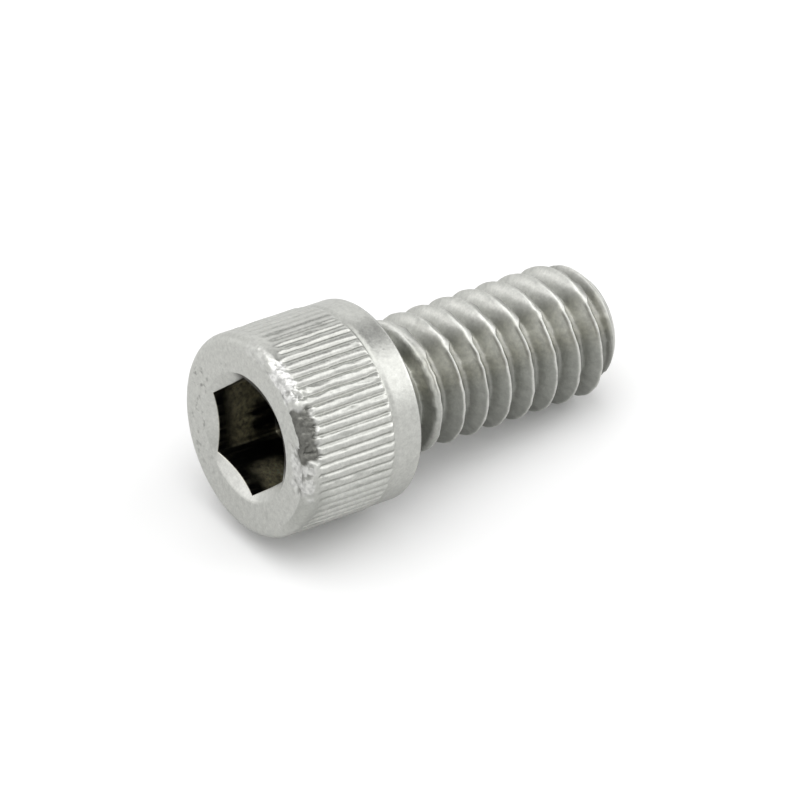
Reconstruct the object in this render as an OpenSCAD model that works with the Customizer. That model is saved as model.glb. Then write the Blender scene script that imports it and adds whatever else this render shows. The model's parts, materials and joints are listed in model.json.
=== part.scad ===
// Hex socket cap screw with a knurled cylindrical head, lying on its side.
// The screw is made upright along its own axis, with the bearing face at zero, the head below it
// and the thread above it, and is then laid down so that head rim and thread tip touch the ground.

/* [Head] */
// diameter over the knurl ridges
head_d = 9.3; // [8.8:0.05:10.5]
// head height, from the face to the bearing face
head_h = 6.2; // [5.8:0.1:7.5]
// width of the rounded edge round the face
face_round = 0.45; // [0.25:0.05:0.6]
// diameter of the plain band next to the bearing face
band_d = 9.18; // [8.5:0.02:9.2]
// length of that plain band
band_len = 1.45; // [1:0.05:2]
// width of the broken edge at the bearing face
bearing_edge = 0.2; // [0.1:0.05:0.3]

/* [Knurl] */
// number of straight ridges round the head
knurl_count = 63; // [40:1:80]
// height of the ridges over their grooves
knurl_depth = 0.14; // [0.08:0.01:0.2]
// turn of the ridges round the axis, degrees
knurl_turn = 2.6; // [0:0.1:9]

/* [Socket] */
// width across the flats of the hexagon
socket_af = 4.8; // [4:0.05:5.2]
// depth of the straight flats
socket_depth = 3.3; // [2.4:0.1:3.6]
// turn of the hexagon round the axis, degrees
socket_turn = 43.9; // [0:0.1:60]
// width of the sloped lead outside the corners of the hexagon
lead_width = 0.2; // [0.05:0.05:0.3]
// slope of the lead at the mouth, degrees from the face
lead_slope = 28; // [20:1:45]

/* [Thread] */
// outside diameter of the thread
thread_d = 6.17; // [5.6:0.01:6.4]
// distance from one crest to the next
pitch = 1.27; // [1:0.01:1.4]
// length under the head
thread_len = 12.4; // [9:0.1:25]
// length of the tapered lead at the tip
tip_len = 1.04; // [0.7:0.02:1.4]
// distance from the bearing face to a crest, on the underside
crest_at = 1.24; // [0:0.01:1.27]
// steps in one turn of the thread
turn_steps = 36; // [24:4:48]

/* [Rim damage] */
// depth of the bruise on the edge of the face
bruise = 0.3; // [0.1:0.02:0.4]

/* [Hidden] */
smooth = 96;
// the band has one of its sides straight down, so that it lies without rolling
band_sides = 60;
steel = [0.62, 0.62, 0.60];

head_r = head_d / 2;
band_r = band_d / 2;
groove_r = head_r - knurl_depth;
thread_r = thread_d / 2;
// depth of a sixty degree thread with a flat crest and a narrow root
thread_h = 0.6134 * pitch;
root_r = thread_r - thread_h;
tip_r = thread_r - 0.83 * tip_len;
// plain neck between the bearing face and the first turn
neck_r = thread_r - 0.24;
fillet = 0.6;
neck_len = 0.75;

// the lying angle: the broken edge of the bearing face and the end of the full thread on one plane
contact_z = thread_len - tip_len;
edge_out = contact_z + bearing_edge;
edge_up = band_r - thread_r;
lie = atan2(edge_up, edge_out);
face_flat_r = head_r - face_round;
low = max(thread_r * cos(lie) + contact_z * sin(lie), band_r * cos(lie) - bearing_edge * sin(lie));
x_min = -(face_flat_r * sin(lie) + head_h * cos(lie));
x_max = tip_r * sin(lie) + thread_len * cos(lie);

// outline of one ridge as shares of the ridge spacing and of its height
ridge = [[0.10, 0], [0.27, 0.78], [0.50, 1], [0.73, 0.78], [0.90, 0]];
function knurl_outline() = [
    for (k = [0 : knurl_count - 1], p = ridge)
        let (a = 360 * (k + p[0] - 0.5) / knurl_count + knurl_turn, r = groove_r + knurl_depth * p[1])
        [r * cos(a), r * sin(a)]
];

// a rounded corner as short chords: centre, radius, from one angle to another
function corner(cx, cy, r, a, b, n) = [
    for (k = [0 : n]) let (t = a + (b - a) * k / n) [cx + r * cos(t), cy + r * sin(t)]
];

// one turn of the thread as [share of the pitch, radius]: a hollow root, two flanks, a soft crest
soft = 0.025;
turn = [
    [0, root_r], [0.0825, root_r - soft], [0.165, root_r],
    [0.515, thread_r - soft], [0.5825, thread_r], [0.65, thread_r - soft]
];
rows = len(turn);
turns = ceil((thread_len + 2.2 * pitch + 0.3) / pitch) + 1;
last = turns * rows;
first_z = crest_at - (turn[4][0] + 2) * pitch;

// the thread rises out of the neck along a slope, as a rolled thread does
function risen(z, r) = min(r, neck_r - 0.2 + max(z - 0.45, 0) * 0.36);
function thread_point(i, j) =
    let (
        t = turn[j % rows],
        a = 360 * i / turn_steps,
        z = first_z + pitch * (floor(j / rows) + t[0] + i / turn_steps),
        r = risen(z, t[1])
    )
    [r * cos(a), r * sin(a), z];
// a point past the last step of a turn is the first point of the next turn
function spot(i, j) = i < turn_steps ? j * turn_steps + i : (j + rows) * turn_steps;

module thread_body() {
    top = (last + 1) * turn_steps;
    points = concat(
        [for (j = [0 : last], i = [0 : turn_steps - 1]) thread_point(i, j)],
        [[0, 0, first_z + pitch / 2], [0, 0, first_z + pitch * (turns - 0.5)]]
    );
    start_loop = concat(
        [for (i = [0 : turn_steps - 1]) spot(i, 0)],
        [for (j = [rows : -1 : 1]) spot(0, j)]
    );
    end_loop = concat(
        [for (i = [0 : turn_steps - 1]) spot(i, last)],
        [for (j = [1 : rows]) spot(turn_steps - 1, last - j)]
    );
    sides = [
        for (i = [0 : turn_steps - 1], j = [0 : last - 1])
            if (i < turn_steps - 1 || j + 1 + rows <= last)
                each [
                    [spot(i, j), spot(i + 1, j + 1), spot(i + 1, j)],
                    [spot(i, j), spot(i, j + 1), spot(i + 1, j + 1)]
                ]
    ];
    n = len(start_loop);
    ends = [
        for (k = [0 : n - 1]) each [
            [top, start_loop[k], start_loop[(k + 1) % n]],
            [top + 1, end_loop[(k + 1) % n], end_loop[k]]
        ]
    ];
    polyhedron(points, concat(sides, ends), convexity = 10);
}

// the lathe shape that trims the thread at the tip
module tip_lathe() {
    rotate_extrude($fn = smooth) polygon([
        [0, -4], [thread_r + 1, -4], [thread_r + 1, contact_z - 0.83],
        [tip_r, thread_len], [0, thread_len]
    ]);
}

// plain band, broken bearing edge, fillet under the head and the neck
module band_and_neck() {
    rotate([0, 0, 180 / band_sides]) rotate_extrude($fn = band_sides) polygon(concat(
        [[0, -band_len - 0.6], [groove_r - 0.3, -band_len - 0.6], [groove_r - 0.3, -band_len]],
        [[groove_r - 0.06, -band_len], [band_r, -band_len + 0.1]],
        corner(band_r - bearing_edge, -bearing_edge, bearing_edge, 0, 90, 3),
        corner(neck_r + fillet, fillet, fillet, 270, 180, 5),
        [[neck_r, neck_len], [root_r - 0.15, neck_len + neck_r - root_r + 0.15]],
        [[0, neck_len + neck_r - root_r + 0.15]]
    ));
}

// knurled length of the head, rounded at the face and faded out before the band
module knurled_part() {
    intersection() {
        translate([0, 0, -head_h - 0.5])
            linear_extrude(height = head_h - band_len + 0.6) polygon(knurl_outline());
        rotate_extrude($fn = smooth) polygon(concat(
            [[0, -head_h]],
            corner(face_flat_r, -head_h + face_round, face_round, 270, 312, 3),
            [[head_r + 0.02, -head_h + face_round + 0.12], [head_r + 0.02, -band_len - 0.42]],
            [[groove_r - 0.03, -band_len - 0.08], [groove_r - 0.03, -band_len + 0.05]],
            [[0, -band_len + 0.05]]
        ));
    }
}

// hexagon with a cone at the bottom and a sloped lead at the mouth
module socket_cut() {
    corner_r = socket_af / sqrt(3);
    lead_r = corner_r + lead_width;
    lead_drop = lead_r * tan(lead_slope);
    floor_z = -head_h + socket_depth;
    rotate([0, 0, socket_turn]) translate([0, 0, -head_h - 0.5])
        cylinder(h = socket_depth + 0.5, r = corner_r, $fn = 6);
    translate([0, 0, floor_z - 0.2])
        cylinder(h = 0.2 + 0.01, r = socket_af * 0.47, $fn = smooth);
    translate([0, 0, floor_z])
        cylinder(h = socket_af * 0.47 * tan(30), r1 = socket_af * 0.47, r2 = 0, $fn = smooth);
    translate([0, 0, -head_h])
        cylinder(h = lead_drop, r1 = lead_r, r2 = 0, $fn = smooth);
    translate([0, 0, -head_h - 0.5])
        cylinder(h = 0.5 + 0.001, r = lead_r, $fn = smooth);
}

// one flat bruise on the edge of the face: direction, slope from the axis, depth at the face
module bruise_cut(direction, slope, depth) {
    rotate([0, 0, direction]) translate([head_r - depth, 0, -head_h]) rotate([0, slope, 0])
        translate([0, -3, -1]) cube([3, 6, 4]);
}

module cap_screw() {
    color(steel)
    translate([-(x_min + x_max) / 2, 0, low]) rotate([0, 90 + lie, 0])
    difference() {
        union() {
            knurled_part();
            band_and_neck();
            intersection() {
                thread_body();
                tip_lathe();
            }
        }
        socket_cut();
        bruise_cut(-125, 24, bruise);
        bruise_cut(-157, 40, bruise * 0.8);
        bruise_cut(-103, 46, bruise * 0.75);
    }
}

cap_screw();
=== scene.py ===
import json
import math

import bpy
import numpy as np
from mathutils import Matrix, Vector


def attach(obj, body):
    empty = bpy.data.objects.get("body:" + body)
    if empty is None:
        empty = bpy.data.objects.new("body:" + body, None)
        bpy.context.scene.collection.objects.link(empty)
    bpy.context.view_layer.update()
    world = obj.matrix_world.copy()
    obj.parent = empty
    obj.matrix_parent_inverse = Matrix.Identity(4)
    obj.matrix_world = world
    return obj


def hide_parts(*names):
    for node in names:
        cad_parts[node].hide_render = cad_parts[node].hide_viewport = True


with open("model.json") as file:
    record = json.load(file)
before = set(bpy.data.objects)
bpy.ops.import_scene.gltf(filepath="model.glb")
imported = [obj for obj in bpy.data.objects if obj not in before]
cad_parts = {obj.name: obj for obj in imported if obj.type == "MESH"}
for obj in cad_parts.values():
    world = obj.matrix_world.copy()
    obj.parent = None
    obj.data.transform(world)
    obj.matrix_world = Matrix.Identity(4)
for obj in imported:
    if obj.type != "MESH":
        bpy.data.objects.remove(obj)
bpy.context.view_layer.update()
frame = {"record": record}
mm = 0.001

# Where the screw lies: the bearing face's mount gives the middle of that face and the way the shank points.
seat = next(m for m in frame["record"]["mounts"] if m["name"] == "bearing_face")
axisAlong = np.array(seat["axis"], float)
axisAlong /= np.linalg.norm(axisAlong)
axisSide = np.array([0.0, 1.0, 0.0])
axisDown = np.cross(axisSide, axisAlong)
seatMiddle = np.array([seat["pos_m"][0], 0.0, seat["pos_m"][2]])


def laidDown(points):
    # screw frame in millimetres (down, side, along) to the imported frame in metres:
    # seat + down * x + side * y + along * z
    turned = points[:, :1] * axisDown + points[:, 1:2] * axisSide + points[:, 2:3] * axisAlong
    return turned * mm + seatMiddle


# Camera: degrees, millimetres, and the point that it looks at.
view = dict(
    azimuth=-36.308,
    elevation=39.335,
    distance=500.25,
    lens=515.31,
    target=(-1.5626, -1.0627, 4.4807),
)


def makeCamera(v):
    # target + distance * (sin a cos e, -cos a cos e, sin e), looking back along that ray
    a, e = math.radians(v["azimuth"]), math.radians(v["elevation"])
    back = Vector((math.sin(a) * math.cos(e), -math.cos(a) * math.cos(e), math.sin(e)))
    camera = bpy.data.objects.new("camera", bpy.data.cameras.new("camera"))
    camera.data.lens = v["lens"]
    camera.data.sensor_width = 36
    camera.location = (Vector(v["target"]) + back * v["distance"]) * mm
    camera.rotation_mode = "QUATERNION"
    camera.rotation_quaternion = (-back).to_track_quat("-Z", "Y")
    bpy.context.scene.collection.objects.link(camera)
    bpy.context.scene.camera = camera


makeCamera(view)
print("camera set")


# Helpers for shapes: all take and give whole arrays.
def smoothStep(low, high, x):
    # 3 t^2 - 2 t^3 of the share t that x has gone from low to high
    t = np.clip((x - low) / (high - low), 0, 1)
    return t * t * (3 - 2 * t)


def hump(middle, width, x):
    # 1 at the middle, falling to 0 at a distance of one width: (1 - d^2)^2
    d = np.clip((x - middle) / width, -1, 1)
    return (1 - d * d) ** 2


def softMin(a, b, width):
    # the lesser of two values, (a + b - sqrt((a - b)^2 + width^2)) / 2
    return (a + b - np.sqrt((a - b) ** 2 + width * width)) / 2


def softMax(a, b, width):
    # the greater of two values, rounded in the same way
    return -softMin(-a, -b, width)


def latticeValue(ix, iy, iz, seed):
    # a fixed number from -1 to 1 for each whole-number corner, by shifts and products
    h = (ix * 374761393 + iy * 668265263 + iz * 2147483647 + seed * 144665) & 0xFFFFFFFF
    h = ((h ^ (h >> 13)) * 1274126177) & 0xFFFFFFFF
    h = ((h ^ (h >> 16)) * 2246822519) & 0xFFFFFFFF
    return ((h ^ (h >> 15)) & 0xFFFFFF) / 8388607.5 - 1


def grain(x, y, z, size, seed):
    # smooth noise: the values at the eight corners of a cell, blended by smooth steps of the shares
    p = [np.asarray(c, float) / size for c in np.broadcast_arrays(x, y, z)]
    cell = [np.floor(c).astype(np.int64) for c in p]
    t = [smoothStep(0, 1, c - k) for c, k in zip(p, cell)]
    total = 0
    for dx in (0, 1):
        for dy in (0, 1):
            for dz in (0, 1):
                wx = t[0] if dx else 1 - t[0]
                wy = t[1] if dy else 1 - t[1]
                wz = t[2] if dz else 1 - t[2]
                total = total + wx * wy * wz * latticeValue(cell[0] + dx, cell[1] + dy, cell[2] + dz, seed)
    return total


def angleGap(a, b):
    # smallest signed turn from b to a, degrees
    return (a - b + 180) % 360 - 180


def window(x, start, full, fading, gone):
    # a step up from 0 to 1 between start and full, times a step down between fading and gone
    return smoothStep(start, full, x) * (1 - smoothStep(fading, gone, x))


def plateau(turn, middle, flat, foot):
    # 1 up to the flat distance from the middle turn, and a smooth step down to 0 at the foot, degrees
    return 1 - smoothStep(flat, foot, np.abs(angleGap(turn, middle)))


# The screw: millimetres and degrees. The turn is 0 on the underside, grows towards the far side and is -90 on
# the near side. Shares of crest, flank and lip are shares of the pitch; ridgeTop is a share of half a ridge
# and coneShare one of the width across flats. lipSpan and paleSpan are the degrees at which the lip and the
# pale stretch start, are full, fade and are gone, counted from lipTo and paleTurn. Dark, grey and pale
# strengths go from 0 to 1.
screw = dict(
    headRadius=4.65, headHeight=6.2, faceRound=0.45,
    bandRadius=4.59, bandLength=1.45, bearingEdge=0.2,
    ridgeCount=63, ridgeDepth=0.12, ridgeTop=0.22, ridgeCurve=1.8, ridgeTurn=2.6, samplesPerRidge=10,
    ridgeStart=0.35, ridgeFade=0.45, ridgeRound=0.3, ridgeStep=0.01, ridgeFoot=0.06,
    acrossFlats=4.8, socketDepth=3.3, socketTurn=43.9, leadSlope=28, leadWidth=0.2,
    coneShare=0.47, coneSlope=30,
    threadRadius=3.085, pitch=1.27, threadLength=12.4, tipLength=1.04, tipTaper=0.83, crestAt=1.24,
    neckRadius=2.845, fillet=0.6, neckLength=0.75, riseDrop=0.2, riseStart=0.45, riseSlope=0.36,
    crestShare=0.05, flankShare=0.3925, threadDepth=0.779,
    crestRagged=0.03, crestSway=0.025, waveTurn=9,
    lipTo=-148, lipShare=0.17, lipSpan=(-75, -25, -5, 2.5), firstCrest=0.21,
    # the pale stretch is painted light: the flanks' painted grey is left off on top
    paleTurn=-181, paleSlant=23, paleSpan=(-120, -90, -9, 9), paleStrength=0.85,
    # strengths of painted shade: at the neck, at the start of the thread, where the lip ends and on the last
    # turn
    neckDark=0.4, startGrey=0.55, lipEndDark=0.24, tipDark=0.35,

    # marks round the axis: the turn at the middle, the half width in degrees, and the strength
    marks=dict(
        wornRidges=(160, 30, 0.6),       # how much lower the ridges are
        rubbedTop=(175, 24, 0.35),       # how much later the ridges start, millimetres
        rubbedNear=(-76, 22, 0.25),
        knockedRidges=(-141, 20, 1),     # how uneven the ridges are
        dullStarts=(-72, 34, 0.65),      # greyer starts of the ridges
        # painted shade at the foot of the band
        darkFoot=(-164, 24, 0.5),        # darker foot of the band
        greyLead=(52, 24, 0.35),         # greyer lead at the mouth of the socket
        flecks=(92, 65, 0.8),            # flecks on the face
        # painted light: the fillet's painted shade is left off on top
        paleNeck=(-190, 32, 0.75),       # paler fillet on top
        # painted highlight: paler flanks
        paleFlanks=(-139, 22, 0.6),      # paler flanks a little below the lip
        # a warm tint, partly oxide and partly painted reflection
        warmFlanks=(-136, 34, 0.16),     # a warm tint on the flanks
    ),

    # patches on the lead at the mouth: the turn at the middle, and the degrees from it up to which each is
    # full and at which it is gone
    patches=dict(
        # painted highlight on the lower part of the lead
        leadHighlight=(8, 20, 44),
        # painted shade on the near side of the lead
        shadedLead=(-145, 50, 70),
    ),

    # torn metal on the edge of the face: middle and half width of each patch round the axis in degrees, how
    # far it runs along the side and in over the face, how deep it is cut, how lumpy it is, how dark its
    # metal and its pits are, and how much of the plain steel it hides
    tears=[
        dict(turn=-123, halfTurn=20, run=0.80, over=0.10, depth=0.13, lump=0.12,
             dark=1.0, pits=0.0, strength=1.0),
        dict(turn=-155, halfTurn=14, run=0.60, over=0.15, depth=0.04, lump=0.18,
             dark=0.0, pits=0.5, strength=1.0),
        dict(turn=-100, halfTurn=19, run=0.40, over=0.85, depth=0.03, lump=0.12,
             dark=0.15, pits=0.9, strength=0.7),
        dict(turn=-180, halfTurn=12, run=0.50, over=0.10, depth=0.01, lump=0.03,
             dark=0.1, pits=0.3, strength=0.3),
    ],

    # tints across the crest of the thread, where underLip and nearRoot are painted shade, thinEdge is the
    # dark line of a lap and softGleam is a painted highlight: the strength of each, where its middle lies and
    # how wide it is to each side, in pitches from the crest towards the tip, and the degrees past the end of
    # the lip at which it starts, is full, fades and is gone
    crestTints=dict(
        underLip=dict(strength=0.45, at=0.17, wide=0.15, span=(-52, -28, 30, 55)),
        thinEdge=dict(strength=0.65, at=-0.07, wide=0.045, span=(-1, 4, 24, 38)),
        nearRoot=dict(strength=0.27, at=0.55, wide=0.25, span=(-45, -20, 100, 140)),
        softGleam=dict(strength=0.55, at=0.03, wide=0.13, span=(2, 22, 110, 150)),
    ),
)


def mark(s, name, turn):
    # strength * hump of the distance from the mark's middle
    middle, width, strength = s["marks"][name]
    return strength * hump(0, width, angleGap(turn, middle))


def crestTint(s, name, side, past):
    # strength * hump across the crest * window along the turn
    t = s["crestTints"][name]
    return t["strength"] * hump(t["at"], t["wide"], side) * window(past, *t["span"])


def ridgeHeight(turn, s):
    # 1 on the flat top of a ridge and 0 in the groove: 1 - u^curve, with u the share of the shoulder
    away = np.abs(((turn - s["ridgeTurn"]) * s["ridgeCount"] / 360 + 0.5) % 1 - 0.5) * 2
    shoulder = np.clip((away - s["ridgeTop"]) / (1 - s["ridgeTop"]), 0, 1)
    return 1 - shoulder ** s["ridgeCurve"]


def hexRadius(turn, s):
    # distance from the axis to the flat that faces this direction: half the width over the cosine
    half = s["acrossFlats"] / 2
    return half / np.cos(np.radians((turn - s["socketTurn"]) % 60 - 30))


def ringRows(turn, pairs):
    # radius and distance along of each pair, spread over all the turns, as two arrays
    radius = np.array([r + 0 * turn for r, z in pairs])
    along = np.array([z + 0 * turn for r, z in pairs])
    return radius, along


def leadRadius(s):
    # the hexagon's corners, half the width over cos 30, plus the width of the sloped lead
    return s["acrossFlats"] / math.sqrt(3) + s["leadWidth"]


def coneSize(s):
    # radius and height of the cone at the socket's bottom: the height is the radius * tan slope
    radius = s["acrossFlats"] * s["coneShare"]
    return radius, radius * math.tan(math.radians(s["coneSlope"]))


def socketPairs(turn, s):
    # from the middle of the bottom cone, over the floor, up the six walls and out along the sloped lead,
    # which meets a wall at (lead radius - wall radius) * tan slope behind the face
    wall = hexRadius(turn, s)
    lead = leadRadius(s)
    face = -s["headHeight"]
    bottom = face + s["socketDepth"]
    cone, coneHeight = coneSize(s)
    top = face + (lead - wall) * math.tan(math.radians(s["leadSlope"]))
    pairs = [(cone * share, bottom + coneHeight * (1 - share)) for share in (0.03, 0.35, 0.7, 0.98)]
    pairs += [(cone + 0.03, bottom), (wall - 0.03, bottom)]
    pairs += [(wall, bottom + (top - bottom) * share) for share in np.linspace(0.01, 0.965, 14)]
    pairs += [(wall, top + 0.02)]
    pairs += [(wall + (lead - wall) * share, top + (face - top) * share) for share in (0.06, 0.3, 0.6, 0.85)]
    pairs += [(lead - 0.015, face + 0.004), (lead + 0.03, face)]
    return pairs


def facePairs(s):
    # out across the flat face: lead + (flat - lead) * share
    lead = leadRadius(s)
    flat = s["headRadius"] - s["faceRound"]
    shares = (0.1, 0.22, 0.32, 0.41, 0.49, 0.57, 0.65, 0.73, 0.81, 0.88, 0.95)
    return [(lead + (flat - lead) * share, -s["headHeight"]) for share in shares]


def sidePairs(s):
    # over the rounded edge of the face as a quarter circle, along the side and down the rounded tips of the
    # ridges; the third value says how much of their depth the grooves have there
    face = -s["headHeight"]
    flat = s["headRadius"] - s["faceRound"]
    pairs = []
    for a in np.linspace(0, 88, 11):
        out = s["faceRound"] * math.sin(math.radians(a))
        up = s["faceRound"] * (1 - math.cos(math.radians(a)))
        pairs.append((flat + out, face + up, 1))
    ridgeEnd = -s["bandLength"] - s["ridgeFoot"]
    for up in list(np.arange(0.5, 0.95, 0.06)) + [1.0, 1.12, 1.3, 1.6, 2.0, 2.4, 2.8, 3.2, 3.65, 4.05]:
        pairs.append((s["headRadius"], face + up, 1))
    for share in (0.1, 0.35, 0.55, 0.72, 0.86, 0.95, 1):
        drop = 1 - math.sqrt(max(0, 1 - share ** 2))
        lower = (s["ridgeDepth"] - s["ridgeStep"]) * drop
        pairs.append((s["headRadius"] - lower, ridgeEnd - s["ridgeRound"] * (1 - share), 1 - drop))
    return pairs


def bandPairs(s):
    # a soft foot, the plain band, the broken edge as a quarter circle and the start of the bearing face
    ridgeEnd = -s["bandLength"] - s["ridgeFoot"]
    band = -s["bandLength"]
    low = s["headRadius"] - s["ridgeDepth"]
    r, edge = s["bandRadius"], s["bearingEdge"]
    rise = r - low
    pairs = [(low, ridgeEnd + 0.02), (low + 0.15 * rise, band), (low + 0.5 * rise, band + 0.07)]
    pairs += [(low + 0.85 * rise, band + 0.14), (r, band + 0.22)]
    pairs += [(r, band * 0.75), (r, band * 0.5), (r, -edge - 0.1), (r, -edge - 0.01)]
    for a in (20, 45, 70, 88):
        inward = edge * (1 - math.cos(math.radians(a)))
        pairs.append((r - inward, -edge * (1 - math.sin(math.radians(a)))))
    pairs.append((r - edge - 0.1, 0))
    return pairs


def knurled(turn, radius, along, weight, s):
    # radius - (1 - ridge height) * ridge depth * share, where the share grows from 0 behind the face, later
    # where the edge was rubbed, and is less where the ridges are worn; they sway a little, most where the
    # head was knocked, and have small nicks; gives the radius and a grey share in the grooves and nicks,
    # painted shade with some dirt
    x, y = radius * np.cos(np.radians(turn)), radius * np.sin(np.radians(turn))
    behind = along + s["headHeight"]
    rubbed = mark(s, "rubbedTop", turn) + mark(s, "rubbedNear", turn)
    ragged = 0.10 * grain(x, y, 0, 0.45, 11)
    start = s["ridgeStart"] + rubbed + ragged
    share = weight * smoothStep(0, s["ridgeFade"], behind - start)
    share = share * (1 - mark(s, "wornRidges", turn))
    knocked = mark(s, "knockedRidges", turn)
    uneven = 1 + (0.10 + 0.25 * knocked) * (grain(x, y, 0.5 * along, 0.45, 12) + grain(x, y, along, 0.19, 13))
    sway = (0.25 + 0.2 * knocked) * grain(x, y, 0.7 * along, 0.55, 14)
    nick = smoothStep(0.5, 0.8, grain(x, y, 0.8 * along, 0.21, 15))
    height = ridgeHeight(turn + sway, s)
    # painted shade with some dirt: grey in the groove bottoms and in the nicks
    deep = 0.85 * share * np.maximum(smoothStep(0.35, 0.95, 1 - height), 0.5 * nick)
    return radius - (1 - height * uneven + 0.35 * nick) * s["ridgeDepth"] * share, deep


def torn(turn, radius, along, s):
    # each patch sinks by its depth + its lumpiness * two sizes of grain, inside a ragged outline; gives how
    # far to sink, how torn and how dark each place is
    x, y = radius * np.cos(np.radians(turn)), radius * np.sin(np.radians(turn))
    behind = along + s["headHeight"]
    inward = np.maximum(s["headRadius"] - s["faceRound"] - radius, 0)
    ragged = 0.3 * grain(x, y, along, 0.3, 21)
    lumps = 0.6 * grain(x, y, along, 0.30, 22) + 0.4 * grain(x, y, along, 0.13, 23)
    hurt, dark, sink = 0 * radius, 0 * radius, 0 * radius
    for t in s["tears"]:
        across = np.abs(angleGap(turn, t["turn"])) / t["halfTurn"]
        reach = np.maximum(across, behind / t["run"] + inward / t["over"])
        inside = 1 - smoothStep(0.72, 1.0, reach + ragged)
        hurt = np.maximum(hurt, inside * t["strength"])
        pit = t["pits"] * smoothStep(0.10, 0.32, lumps)
        dark = np.maximum(dark, inside * np.maximum(t["dark"], pit))
        sink = sink + inside * (t["depth"] + t["lump"] * lumps)
    return sink, hurt, dark


def neckPairs(s):
    # bearing face inwards, then the fillet as a quarter circle, then the neck
    outer = s["neckRadius"] + s["fillet"]
    pairs = [(outer + 0.3, 0)]
    for a in np.linspace(0, 90, 9):
        t = math.radians(a)
        pairs.append((outer - s["fillet"] * math.sin(t), s["fillet"] * (1 - math.cos(t))))
    pairs.append((s["neckRadius"], s["neckLength"]))
    return pairs


def threadShares():
    # places of the rows along one pitch, closer together at the crest (0.5) and at the root (0 and 1)
    crest = np.array([0.40, 0.425, 0.445, 0.46, 0.475, 0.5, 0.525, 0.55, 0.575, 0.60])
    flank = np.array([0.66, 0.73, 0.80, 0.86, 0.905, 0.945, 0.98])
    return np.concatenate([1 - flank[::-1], crest, flank])


def threadTints(turn, side, z, below, s):
    # shares from 0 to 1 of the flanks' grey, partly a film and partly painted shade, the dark lines, mostly
    # painted shade, the painted gleams and a warm tint, partly oxide and partly painted reflection; a gleam
    # hides the grey and the dark lines under it
    past = angleGap(turn, s["lipTo"])

    # grey flanks, partly a film and partly painted shade; they are pale on top, where the pale stretch ends
    # at a slant, and a little below the lip, both painted light, and all grey where the thread starts,
    # painted shade
    onTop = angleGap(turn, s["paleTurn"] + s["paleSlant"] * (side % 1))
    pale = window(onTop, *s["paleSpan"])
    pale = np.maximum(s["paleStrength"] * pale, mark(s, "paleFlanks", turn))
    grey = smoothStep(0.01, 0.07, below) * (1 - pale)
    grey = np.maximum(grey, s["startGrey"] * (1 - smoothStep(1.9, 2.6, z)) * smoothStep(-30, -8, past))

    # painted highlights: a gleam that crosses the crest towards the lip and weakens there, and a soft one on
    # the crest below it
    gleam = hump(-0.14 + 0.18 * smoothStep(-35, -2, past), 0.13, side) * (1 - smoothStep(-1, 2, past))
    gleam = gleam * (smoothStep(-75, -50, past) - 0.45 * smoothStep(-24, -10, past))
    gleam = np.maximum(gleam, crestTint(s, "softGleam", side, past))

    # dark lines: painted shade under the lip, a lap beside the thin stretch of the crest, painted shade on
    # the flanks where the lip ends, on the roots on the near side, and at the start and end of the thread
    lipEnd = s["lipEndDark"] * window(past, -34, -20, -12, 4) * smoothStep(0.01, 0.1, below)
    roots = crestTint(s, "nearRoot", side % 1, past) * smoothStep(1.5, 2.1, z)
    firstTurn = s["neckDark"] * (1 - smoothStep(0.85, 1.45, z)) * smoothStep(-25, -2, past)
    fromTip = z - s["threadLength"]
    lastTurn = s["tipDark"] * smoothStep(-1.2, -0.8, fromTip) * smoothStep(0.03, 0.15, below)
    line = crestTint(s, "underLip", side, past)
    for part in (crestTint(s, "thinEdge", side, past), lipEnd, roots, firstTurn, lastTurn):
        line = np.maximum(line, part)
    return grey * (1 - gleam), line * (1 - gleam), gleam, grey * mark(s, "warmFlanks", turn)


def threadAt(turn, z, s):
    # crest radius - thread depth * share of the flank, a wave of the distance along the helix, with sixty
    # degree flanks between a rounded crest and root; it stays under the slope that rises out of the neck and
    # under the cone at the tip; the crest is a little ragged, and wide in the upper part of each turn, where
    # it has a lip towards the tip, and where the thread starts; gives the radius and the four tints
    phase = (z - s["crestAt"]) / s["pitch"] - turn / 360
    lap = np.floor(phase + 0.5)
    around = (turn + 360 * lap) / s["waveTurn"]
    wobble = grain(around, 0, 0, 1.0, 31) + 0.6 * grain(around, 0, 0, 0.45, 32)
    side = (phase + 0.5) % 1 - 0.5 + s["crestSway"] * grain(around, 0, 0, 0.8, 33)
    lip = window(angleGap(turn, s["lipTo"]), *s["lipSpan"]) * (1 + 0.25 * wobble)
    wide = s["firstCrest"] * (1 - smoothStep(1.9, 2.7, z))
    extra = np.where(side > 0, s["lipShare"] * lip, wide)
    half = s["crestShare"] / 2 + s["crestRagged"] * wobble * 0.5 + extra
    crest = s["threadRadius"] - 0.012 * (1 + wobble)
    share = (np.abs(side) - half) / (s["flankShare"] - (half - s["crestShare"] / 2))
    bulge = 0.02 * np.sin(np.pi * np.clip(share, 0, 1))
    flank = crest - (share - bulge) * s["threadDepth"]
    root = s["threadRadius"] - s["threadDepth"]
    r = softMax(softMin(flank, crest, 0.035 + 0.06 * lip), root, 0.05)
    rise = s["neckRadius"] - s["riseDrop"] + np.maximum(z - s["riseStart"], 0) * s["riseSlope"]
    r = softMin(r, rise, 0.03)
    r = np.maximum(r, s["neckRadius"] - np.maximum(z - s["neckLength"], 0))
    cone = s["threadRadius"] - s["tipTaper"] * s["tipLength"] + (s["threadLength"] - z)
    r = np.minimum(softMin(r, cone, 0.12), cone)
    below = np.minimum(crest, cone) - r
    return (r, *threadTints(turn, side, z, below, s))


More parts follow.
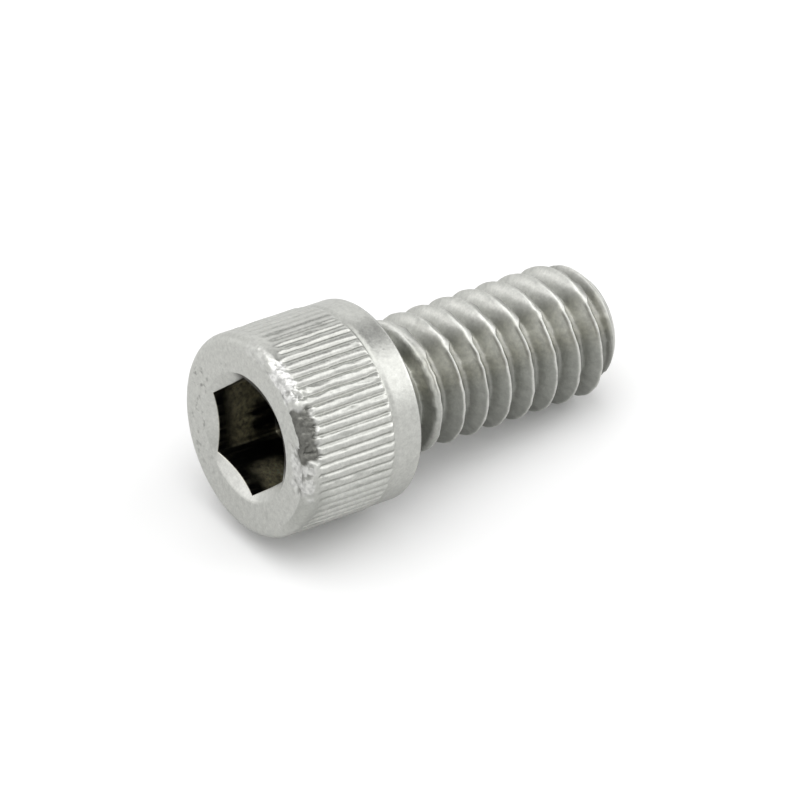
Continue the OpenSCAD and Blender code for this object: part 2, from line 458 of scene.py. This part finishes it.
def gridFaces(index):
    # two triangles for each cell of a grid of point numbers, without the ones that have shrunk to a line
    a, b, c, d = index[:-1, :-1], index[:-1, 1:], index[1:, 1:], index[1:, :-1]
    tris = np.concatenate([np.stack([a, b, c], -1).reshape(-1, 3), np.stack([a, c, d], -1).reshape(-1, 3)])
    same = (tris[:, 0] == tris[:, 1]) | (tris[:, 1] == tris[:, 2]) | (tris[:, 0] == tris[:, 2])
    return tris[~same]


def closedRings(index):
    # repeats the first column after the last
    return np.concatenate([index, index[..., :1]], -1)


def joinRings(fine, coarse, fineFirst):
    # three steps of a fine ring meet one step of a coarse ring
    tris = [np.stack([fine[k:-1:3], fine[k + 1::3], coarse[:-1]], -1) for k in range(3)]
    tris.append(np.stack([fine[3::3], coarse[1:], coarse[:-1]], -1))
    joined = np.concatenate(tris)
    return joined if fineFirst else joined[:, ::-1]


# What the skin tells its metal at each point, from 0 to 1: torn metal, how dark torn metal is and how black
# the socket's painted shade is, the grey of grooves and flanks (partly a film and dirt, partly painted
# shade), dark lines (painted shade, with a lap at the crest), the socket's painted shade and lit patches with
# the flanks' warm tint, flecks, and painted highlights.
valueNames = ("hurt", "dark", "deep", "seam", "soot", "fleck", "bright")


class Skin:
    # gathers points with their values, and triangles between them
    def __init__(self):
        self.points, self.values, self.tris, self.count = [], [], [], 0

    def add(self, turn, radius, along, **given):
        # (r cos turn, r sin turn, along), numbered row by row; values that aren't given are 0
        t = np.radians(turn) + 0 * radius
        place = np.stack([radius * np.cos(t), radius * np.sin(t), along + 0 * t], -1)
        self.points.append(place.reshape(-1, 3))
        values = [given.get(name, 0) + 0 * radius for name in valueNames]
        self.values.append(np.stack(values, -1).reshape(-1, len(valueNames)))
        index = self.count + np.arange(radius.size).reshape(radius.shape)
        self.count += radius.size
        return index


def paintedSocketShade(turn, along, s):
    # painted shade in the socket: how black its walls are, 1 - the painted lit patch at this depth, brown on
    # five walls and olive on one, + streaks that run along the axis; a paler line, a painted highlight, runs
    # down the corners
    radius = hexRadius(turn, s)
    x, y = radius * np.cos(np.radians(turn)), radius * np.sin(np.radians(turn))
    local = (turn - s["socketTurn"]) % 60 - 30
    across = s["acrossFlats"] / 2 * np.tan(np.radians(local))
    inward = along + s["headHeight"]
    streak = 0.55 * grain(x, y, 0.12 * along, 0.30, 41) + 0.45 * grain(x, y, 0.2 * along, 0.13, 42)
    brown = smoothStep(0.6, 1.3, inward + 0.3 * streak)
    brown = 0.62 * brown * (1 - smoothStep(-0.7, -0.1, -across) * smoothStep(1.7, 2.2, inward + 0.6 * streak))
    olive = smoothStep(0.7, 1.5, inward + 0.3 * streak) * smoothStep(-0.4, 0.4, 0.3 * streak - across)
    olive = olive * (1 - smoothStep(2.2, 2.9, inward))
    oneWall = plateau(turn, s["socketTurn"] - 30, 28, 31)
    lit = (brown + (olive - brown) * oneWall) * (1 - 0.8 * smoothStep(2.8, 3.4, inward))
    corner = 0.2 * hump(0, 1.6, 30 - np.abs(local)) * smoothStep(0.8, 1.4, inward)
    return np.clip(1 - np.maximum(lit, corner) + 0.25 * streak, 0, 1)


def buildScrew(s):
    # one closed skin: coarse rings in the socket and on the face, fine ones round the head, coarse ones
    # again down the thread
    fine = s["ridgeCount"] * s["samplesPerRidge"]
    turnFine = s["socketTurn"] + 360 * np.arange(fine) / fine
    turnCoarse = turnFine[::3]
    skin = Skin()

    # the middle of the socket's bottom, the socket, whose last rows are the lead, and the face
    leadRows = 6
    deepest = -s["headHeight"] + s["socketDepth"] + coneSize(s)[1]
    middle = skin.add(0, np.zeros((1, 1)), np.full((1, 1), deepest), soot=1)
    radius, along = ringRows(turnCoarse, socketPairs(turnCoarse, s))
    lead = 1.0 * (np.arange(len(radius)) >= len(radius) - leadRows)[:, None]
    # painted shade: the socket's walls are black deep down, with painted lit patches nearer the mouth
    black = (1 - lead) * paintedSocketShade(turnCoarse, along, s)
    # painted highlight on the lower part of the lead
    leadGleam = 0.8 * lead * plateau(turnCoarse, *s["patches"]["leadHighlight"])
    # painted shade on the near side of the lead, up to the face
    shaded = lead * plateau(turnCoarse, *s["patches"]["shadedLead"]) * (along > 0.005 - s["headHeight"])
    grey = lead * mark(s, "greyLead", turnCoarse)
    socket = skin.add(turnCoarse, radius, along, soot=1 - lead, dark=black,
                      deep=grey, seam=shaded, bright=leadGleam)
    radius, along = ringRows(turnCoarse, facePairs(s))
    sink, hurt, dark = torn(turnCoarse, radius, along, s)
    flecked = 0.2 + mark(s, "flecks", turnCoarse)
    face = skin.add(turnCoarse, radius, along + np.clip(sink, -0.03, 1), hurt=hurt, dark=dark, fleck=flecked)
    inner = closedRings(np.concatenate([socket, face]))
    skin.tris.append(np.stack([np.full_like(inner[0, 1:], middle[0, 0]), inner[0, 1:], inner[0, :-1]], -1))
    skin.tris.append(gridFaces(inner))

    # the side of the head
    side = sidePairs(s)
    radius, along = ringRows(turnFine, [p[:2] for p in side])
    weight = np.array([p[2] for p in side])[:, None]
    radius, deep = knurled(turnFine, radius, along, weight, s)
    sink, hurt, dark = torn(turnFine, radius, along, s)
    dull = mark(s, "dullStarts", turnFine) * (1 - smoothStep(0.8, 1.7, along + s["headHeight"]))
    ridges = skin.add(turnFine, radius - sink, along, hurt=hurt, dark=dark, deep=np.maximum(deep, dull))
    radius, along = ringRows(turnFine, bandPairs(s))
    # painted shade: a darker foot of the band behind the ridge ends, and a dark rim at the bearing edge
    foot = 1 - smoothStep(-s["bandLength"] + 0.12, -s["bandLength"] + 0.24, along)
    foot = foot * (0.15 + mark(s, "darkFoot", turnFine))
    rim = smoothStep(-0.13, -0.04, along)
    band = skin.add(turnFine, radius, along, deep=np.maximum(foot, rim), seam=0.7 * rim)
    outer = closedRings(np.concatenate([ridges, band]))
    skin.tris.append(joinRings(outer[0], inner[-1], False))
    skin.tris.append(gridFaces(outer))

    # bearing face, fillet and neck
    radius, along = ringRows(turnCoarse, neckPairs(s))
    # painted shade on the fillet and the neck, left paler on top
    shade = smoothStep(-0.15, 0.05, s["neckRadius"] + s["fillet"] - radius)
    shade = shade * (1 - mark(s, "paleNeck", turnCoarse))
    neck = closedRings(skin.add(turnCoarse, radius, along, deep=shade, seam=2 * s["neckDark"] * shade))
    skin.tris.append(joinRings(outer[-1], neck[0], True))
    skin.tris.append(gridFaces(neck))

    # thread: rows follow the helix, and points beyond either end plane become those of its ring; its warm
    # tint, partly oxide and partly painted reflection, takes the warm colour of the socket's painted lit
    # patches
    low, high = s["neckLength"], s["threadLength"]
    shares = threadShares()
    perTurn = len(shares)
    turns = int(math.ceil((high - low) / s["pitch"])) + 3
    first = math.floor((low - s["crestAt"]) / s["pitch"] - s["socketTurn"] / 360) - 1
    row = np.arange(turns * perTurn + 1)
    column = np.arange(len(turnCoarse) + 1)
    helix = first + row // perTurn + shares[row % perTurn] - 0.5
    along = s["crestAt"] + s["pitch"] * (helix[:, None] + s["socketTurn"] / 360 + column / len(turnCoarse))
    held = np.clip(along[:, :-1], low, high)
    radius, deep, seam, bright, warm = threadAt(turnCoarse, held, s)
    points = skin.add(turnCoarse, radius, held, deep=deep, seam=seam, soot=warm, bright=bright)
    # the last column is the first column one turn further on
    turnOn = np.minimum(row + perTurn, row[-1])
    points = np.concatenate([points, points[turnOn, :1]], 1)
    radius, deep = threadAt(turnCoarse, high + 0 * turnCoarse, s)[:2]
    end = closedRings(skin.add(turnCoarse, radius[None, :], np.full((1, len(turnCoarse)), high), deep=deep))
    tiny = 1e-9
    points = np.where(along <= low + tiny, neck[-1][column], points)
    points = np.where(along >= high - tiny, end[0][column], points)
    skin.tris.append(gridFaces(points))

    # the flat end, as shares of the radius and how far each ring stands out, closed at its middle
    flatEnd = ((0.985, 0.012), (0.9, 0.02), (0.5, 0.01), (0.1, 0))
    pairs = [(radius * share, high + out) for share, out in flatEnd]
    radius, along = ringRows(turnCoarse, pairs)
    cap = closedRings(skin.add(turnCoarse, radius, along))
    tip = skin.add(0, np.zeros((1, 1)), np.full((1, 1), high))
    skin.tris.append(gridFaces(np.concatenate([end, cap])))
    skin.tris.append(np.stack([cap[-1, :-1], cap[-1, 1:], np.full_like(cap[-1, 1:], tip[0, 0])], -1))
    return np.concatenate(skin.points), np.concatenate(skin.tris), np.concatenate(skin.values)


def meshObject(name, points, tris, values):
    # drops unused points, writes the arrays into a mesh with smooth faces, and keeps each value and the
    # place in the screw's own frame, in millimetres, as attributes
    used = np.unique(tris)
    renumber = np.zeros(len(points), int)
    renumber[used] = np.arange(len(used))
    tris = renumber[tris]
    own, values = points[used], values[used]
    laid = laidDown(own)
    mesh = bpy.data.meshes.new(name)
    mesh.vertices.add(len(laid))
    mesh.vertices.foreach_set("co", laid.astype(np.float32).ravel())
    mesh.loops.add(tris.size)
    mesh.loops.foreach_set("vertex_index", tris.astype(np.int32).ravel())
    mesh.polygons.add(len(tris))
    mesh.polygons.foreach_set("loop_start", np.arange(0, tris.size, 3, dtype=np.int32))
    mesh.polygons.foreach_set("use_smooth", np.ones(len(tris), bool))
    for k, key in enumerate(valueNames):
        layer = mesh.attributes.new(key, "FLOAT", "POINT")
        layer.data.foreach_set("value", values[:, k].astype(np.float32))
    layer = mesh.attributes.new("place", "FLOAT_VECTOR", "POINT")
    layer.data.foreach_set("vector", own.astype(np.float32).ravel())
    mesh.update()
    mesh.validate()
    piece = bpy.data.objects.new(name, mesh)
    bpy.context.scene.collection.objects.link(piece)
    return piece


# Steel: colours as linear shares, mottling, specks, tearing, flecks and fine bumps in patches per millimetre,
# tones as factors from darkest to palest, bumps in millimetres. The thread's roughness is what it has more
# than the head.
steel = dict(
    colour=(0.63, 0.635, 0.60), mottleTone=(0.90, 1.06), speckTone=(0.93, 1.07),
    mottle=4.5, speck=11.0, tearing=4.5, fleck=3.0, fineBump=7.0,
    # the bright colour is that of painted highlights
    fleckFrom=0.58, fleckTo=0.70, fleckColour=(0.34, 0.34, 0.32), brightColour=(0.84, 0.84, 0.80),
    # the root colour is the grey of grooves and flanks, partly a film and dirt and partly painted shade; the
    # next is that of the dark lines, painted shade with a lap at the crest
    rootColour=(0.405, 0.412, 0.382), seamColour=(0.12, 0.115, 0.105),
    tornColour=(0.84, 0.84, 0.82), darkTornColour=(0.195, 0.195, 0.178), tornTone=(0.6, 1.25), tornShare=0.8,
    # the warm colour is that of the socket's painted lit patches and the flanks' warm tint; the black is the
    # socket's painted shade
    sootColour=(0.88, 0.835, 0.63), shadeBlack=(0.015, 0.015, 0.015), sootTone=(0.6, 1.4),
    roughness=0.30, roughnessSpread=0.10, tornRoughness=0.42, sootRoughness=0.38, threadRoughness=0.14,
    bump=0.010, tornBump=0.05,
)


def newMaterial(name):
    # an empty node tree with an output
    mat = bpy.data.materials.new(name)
    mat.use_nodes = True
    nodes = mat.node_tree.nodes
    nodes.clear()
    return mat, nodes, mat.node_tree.links, nodes.new("ShaderNodeOutputMaterial")


def makeSteel(k):
    # metal whose colour, gloss and bumps follow mottling and the skin's own values
    mat, nodes, links, out = newMaterial("rolled steel")
    shader = nodes.new("ShaderNodeBsdfPrincipled")
    shader.inputs["Metallic"].default_value = 1
    links.new(shader.outputs[0], out.inputs[0])

    def value(name, output="Fac"):
        node = nodes.new("ShaderNodeAttribute")
        node.attribute_name = name
        return node.outputs[output]

    def noise(vector, scale, detail):
        node = nodes.new("ShaderNodeTexNoise")
        node.inputs["Scale"].default_value = scale
        node.inputs["Detail"].default_value = detail
        links.new(vector, node.inputs["Vector"])
        return node.outputs["Fac"]

    def spread(source, fromLow, fromHigh, toLow, toHigh):
        node = nodes.new("ShaderNodeMapRange")
        node.inputs["From Min"].default_value = fromLow
        node.inputs["From Max"].default_value = fromHigh
        node.inputs["To Min"].default_value = toLow
        node.inputs["To Max"].default_value = toHigh
        links.new(source, node.inputs["Value"])
        return node.outputs["Result"]

    def blend(share, first, second, mode="MIX"):
        node = nodes.new("ShaderNodeMix")
        node.data_type = "RGBA"
        node.blend_type = mode
        for key, part in (("Factor", share), ("A", first), ("B", second)):
            if isinstance(part, tuple):
                node.inputs[key].default_value = (*part, 1)
            elif isinstance(part, (int, float)):
                node.inputs[key].default_value = part
            else:
                links.new(part, node.inputs[key])
        return node.outputs["Result"]

    def times(a, b):
        node = nodes.new("ShaderNodeMath")
        node.operation = "MULTIPLY"
        for socket, part in zip(node.inputs, (a, b)):
            if isinstance(part, (int, float)):
                socket.default_value = part
            else:
                links.new(part, socket)
        return node.outputs[0]

    place = value("place", "Vector")
    mottling = noise(place, k["mottle"], 5)
    specks = noise(place, k["speck"], 3)
    hurt, dark, deep, seam, soot, fleck, bright = [value(name) for name in valueNames]
    tearing = noise(place, k["tearing"], 4)
    fleckNoise = noise(place, k["fleck"], 2)
    flecks = times(fleck, spread(fleckNoise, k["fleckFrom"], k["fleckTo"], 0, 1))

    # plain steel with flecks and painted highlights, then the grey of grooves and flanks, dark lines, torn
    # metal and the socket's painted shade and lit patches
    tone = times(spread(mottling, 0.3, 0.7, *k["mottleTone"]), spread(specks, 0.3, 0.7, *k["speckTone"]))
    flecked = blend(flecks, k["colour"], k["fleckColour"])
    plain = blend(1.0, blend(bright, flecked, k["brightColour"]), tone, "MULTIPLY")
    rooted = blend(deep, plain, blend(1.0, k["rootColour"], tone, "MULTIPLY"))
    seamed = blend(seam, rooted, k["seamColour"])
    tornMetal = blend(dark, k["tornColour"], k["darkTornColour"])
    tornSpecked = blend(k["tornShare"], tornMetal, spread(tearing, 0.35, 0.65, *k["tornTone"]), "MULTIPLY")
    worn = blend(hurt, seamed, tornSpecked)
    sooty = blend(1.0, k["sootColour"], spread(mottling, 0.35, 0.65, *k["sootTone"]), "MULTIPLY")
    shadedAndWarm = blend(dark, sooty, k["shadeBlack"])
    links.new(blend(soot, worn, shadedAndWarm), shader.inputs["Base Color"])

    # gloss: the head's roughness by the specks, more of it from the neck on, and that of torn metal and of
    # the socket's painted shade and the flanks' warm tint
    lengths = nodes.new("ShaderNodeSeparateXYZ")
    links.new(place, lengths.inputs[0])
    onThread = nodes.new("ShaderNodeMath")
    links.new(spread(lengths.outputs["Z"], 0.1, 1.0, 0, k["threadRoughness"]), onThread.inputs[0])
    rougher = k["roughness"] + k["roughnessSpread"]
    links.new(spread(specks, 0.3, 0.7, k["roughness"], rougher), onThread.inputs[1])
    gloss = onThread.outputs[0]
    links.new(blend(soot, blend(hurt, gloss, (k["tornRoughness"],) * 3), (k["sootRoughness"],) * 3),
              shader.inputs["Roughness"])

    # fine bumps all over, coarser ones in torn metal
    fine = nodes.new("ShaderNodeBump")
    fine.inputs["Distance"].default_value = k["bump"] * mm
    links.new(noise(place, k["fineBump"], 4), fine.inputs["Height"])
    coarse = nodes.new("ShaderNodeBump")
    coarse.inputs["Distance"].default_value = k["tornBump"] * mm
    links.new(hurt, coarse.inputs["Strength"])
    links.new(tearing, coarse.inputs["Height"])
    links.new(fine.outputs[0], coarse.inputs["Normal"])
    links.new(coarse.outputs[0], shader.inputs["Normal"])
    return mat


points, tris, values = buildScrew(screw)
print("screw skin:", len(points), "points,", len(tris), "triangles")
look = meshObject("cap_screw_look", points, tris, values)
look.data.materials.append(makeSteel(steel))
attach(look, "root")
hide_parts("cap_screw")
print("screw placed")

# Table and light: the table's size in metres, colours as shares, light levels, and each glow's direction
# (x, y, z), extra level and the angles from its middle where it starts and stops falling off.
studio = dict(
    tableSize=6.0, tableSeen=0.945, tableColour=0.69,
    worldSeen=1.25, worldLight=1.02,
    glows=[
        dict(toward=(0.62, -0.45, 0.64), extra=0.95, inner=12, outer=32),
        dict(toward=(-0.60, 0.78, 0.16), extra=0.34, inner=8, outer=26),
        dict(toward=(-0.15, 0.0, 1.0), extra=1.75, inner=10, outer=40),
        dict(toward=(0.61, 0.26, 0.75), extra=-0.85, inner=4, outer=21),
        dict(toward=(0.59, 0.72, 0.36), extra=0.22, inner=6, outer=24),
        dict(toward=(0.95, -0.20, 0.25), extra=1.60, inner=6, outer=24),
    ],
)


def makeTable(k):
    # a flat square on the ground; it is a little paler to the camera than to the light it bounces
    half = k["tableSize"] / 2
    mesh = bpy.data.meshes.new("table")
    corners = [(-half, -half, 0), (half, -half, 0), (half, half, 0), (-half, half, 0)]
    mesh.from_pydata(corners, [], [(0, 1, 2, 3)])
    table = bpy.data.objects.new("table", mesh)
    bpy.context.scene.collection.objects.link(table)
    mat, nodes, links, out = newMaterial("pale table")
    diffuse = nodes.new("ShaderNodeBsdfDiffuse")
    path = nodes.new("ShaderNodeLightPath")
    tone = nodes.new("ShaderNodeMix")
    tone.data_type = "RGBA"
    tone.inputs["A"].default_value = (k["tableColour"],) * 3 + (1,)
    tone.inputs["B"].default_value = (k["tableSeen"],) * 3 + (1,)
    links.new(path.outputs["Is Camera Ray"], tone.inputs["Factor"])
    links.new(tone.outputs["Result"], diffuse.inputs["Color"])
    links.new(diffuse.outputs[0], out.inputs[0])
    mesh.materials.append(mat)


def makeWorld(k):
    # level + sum of extra * smooth step of the cosine between a direction and each glow's middle
    world = bpy.data.worlds.new("studio")
    world.use_nodes = True
    nodes, links = world.node_tree.nodes, world.node_tree.links
    nodes.clear()
    out = nodes.new("ShaderNodeOutputWorld")
    back = nodes.new("ShaderNodeBackground")
    path = nodes.new("ShaderNodeLightPath")
    place = nodes.new("ShaderNodeTexCoord")
    base = nodes.new("ShaderNodeValue")
    base.outputs[0].default_value = k["worldLight"]
    level = base.outputs[0]
    for g in k["glows"]:
        toward = nodes.new("ShaderNodeVectorMath")
        toward.operation = "DOT_PRODUCT"
        toward.inputs[1].default_value = Vector(g["toward"]).normalized()
        links.new(place.outputs["Generated"], toward.inputs[0])
        fall = nodes.new("ShaderNodeMapRange")
        fall.interpolation_type = "SMOOTHSTEP"
        fall.inputs["From Min"].default_value = math.cos(math.radians(g["outer"]))
        fall.inputs["From Max"].default_value = math.cos(math.radians(g["inner"]))
        fall.inputs["To Min"].default_value = 0
        fall.inputs["To Max"].default_value = g["extra"]
        links.new(toward.outputs["Value"], fall.inputs["Value"])
        total = nodes.new("ShaderNodeMath")
        links.new(level, total.inputs[0])
        links.new(fall.outputs["Result"], total.inputs[1])
        level = total.outputs[0]
    seen = nodes.new("ShaderNodeMix")
    seen.inputs["B"].default_value = k["worldSeen"]
    links.new(path.outputs["Is Camera Ray"], seen.inputs["Factor"])
    links.new(level, seen.inputs["A"])
    links.new(seen.outputs["Result"], back.inputs["Strength"])
    links.new(back.outputs[0], out.inputs[0])
    bpy.context.scene.world = world


makeTable(studio)
makeWorld(studio)
bpy.context.scene.view_settings.view_transform = "Standard"
print("table and light set")
